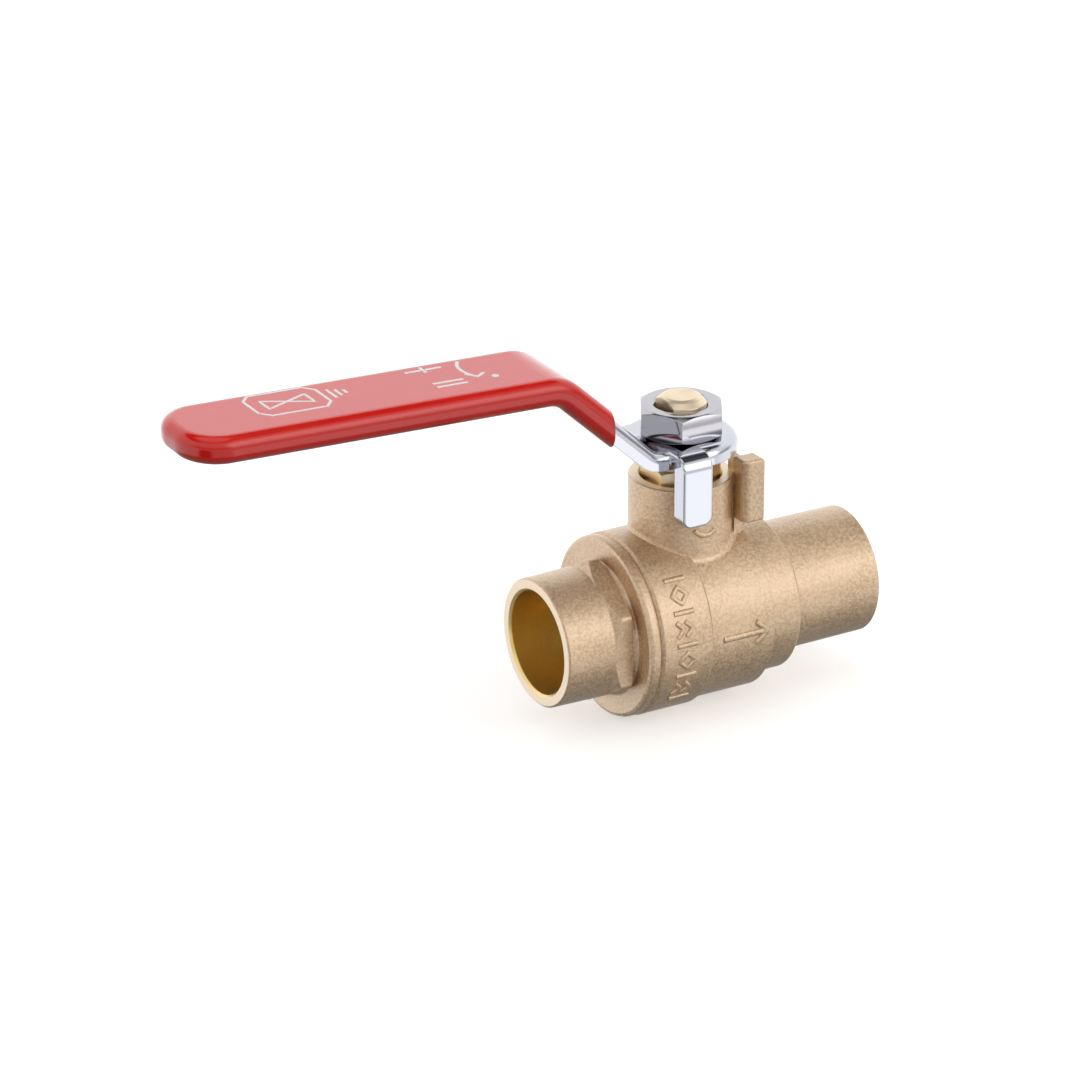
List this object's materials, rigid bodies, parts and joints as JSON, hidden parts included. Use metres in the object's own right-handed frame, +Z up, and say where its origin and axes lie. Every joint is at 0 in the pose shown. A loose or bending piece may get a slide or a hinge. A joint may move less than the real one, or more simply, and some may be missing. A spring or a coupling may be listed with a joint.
{
  "type": "ball valve",
  "caption": "Two-piece full-port ball valve with solder cups and a cranked lever handle in a vinyl sleeve.",
  "frame": {"origin": "centre of the ball, on the pipe's centre line", "axes": "+X along the pipe towards the outlet cup, +Z up the stem; the valve is open, with the lever over the inlet, along -X"},
  "size_m": [0.1142, 0.0282, 0.0615],
  "materials": {
    "forged_brass": "satin",
    "machined_brass": "polished",
    "plated_ball": "polished",
    "plated_steel": "polished",
    "ptfe": "matte",
    "gasket": "matte",
    "red_vinyl": "gloss",
    "white_ink": "satin"
  },
  "bodies": {
    "valve_body": {"body": "forged_brass", "end_cap": "forged_brass", "body_seal": "gasket", "seat_inlet": "ptfe", "seat_outlet": "ptfe", "thrust_washer": "ptfe", "packing_ring_lower": "ptfe", "packing_ring_upper": "ptfe", "gland_washer": "machined_brass", "gland_nut": "machined_brass"},
    "handle": {"stem": "machined_brass", "lever": "plated_steel", "grip_sleeve": "red_vinyl", "handle_nut": "plated_steel"},
    "ball": {"ball": "plated_ball"}
  },
  "joints": [
    {"name": "lever_turn", "type": "hinge", "parent": "valve_body", "child": "handle", "pos_m": [0, 0, 0.02], "axis": [0, 0, 1], "range_deg": [-90, 0]},
    {"name": "ball_turn", "type": "hinge", "parent": "valve_body", "child": "ball", "pos_m": [0, 0, 0], "axis": [0, 0, 1], "range_deg": [-90, 0]}
  ],
  "couplings": [
    {"joint": "ball_turn", "follows": "lever_turn", "ratio": 1}
  ]
}
